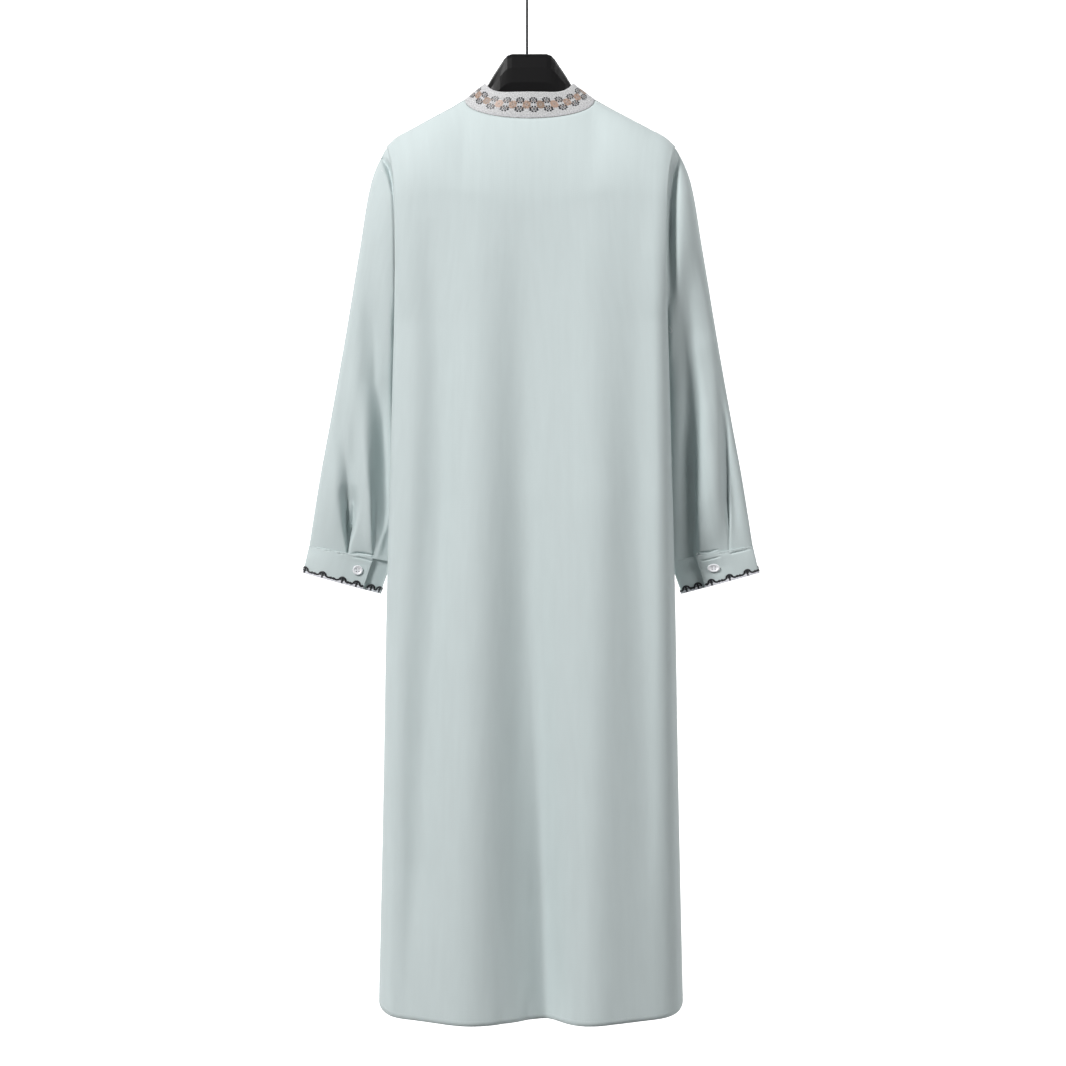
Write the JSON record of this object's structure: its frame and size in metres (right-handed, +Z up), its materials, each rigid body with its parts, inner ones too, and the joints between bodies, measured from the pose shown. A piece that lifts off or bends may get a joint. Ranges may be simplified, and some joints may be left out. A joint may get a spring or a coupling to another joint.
{
  "type": "loose robe on a clothes hanger",
  "caption": "Long loose robe with a stand collar, full sleeves and buttoned cuffs, hung on a wide-shouldered hanger with a wire hook.",
  "frame": {"origin": "the inner top of the hanger's hook, where a rail holds it", "axes": "+Z up, +X across the garment towards its right sleeve as seen from behind, +Y towards the garment's front"},
  "size_m": [0.6924, 0.22, 1.5817],
  "materials": {
    "robe_cloth": "light grey-green woven cloth, matt with a faint sheen",
    "collar_ribbon": "pale ribbon with rosettes and stars in thread",
    "cuff_ribbon": "white ribbon with a dark scrolling line in thread",
    "button": "white, glossy",
    "hanger_plastic": "black, satin",
    "hanger_wire": "black, smooth"
  },
  "bodies": {
    "root": {"back_panel": "robe_cloth", "front_panel": "robe_cloth", "front_placket": "robe_cloth", "front_button_1": "button", "front_button_2": "button", "front_button_3": "button", "collar_band": "collar_ribbon", "left_sleeve": "robe_cloth", "right_sleeve": "robe_cloth", "left_cuff": "robe_cloth", "right_cuff": "robe_cloth", "left_cuff_trim": "cuff_ribbon", "right_cuff_trim": "cuff_ribbon", "left_cuff_button": "button", "right_cuff_button": "button", "hanger_body": "hanger_plastic", "hanger_hook": "hanger_wire"}
  },
  "joints": []
}
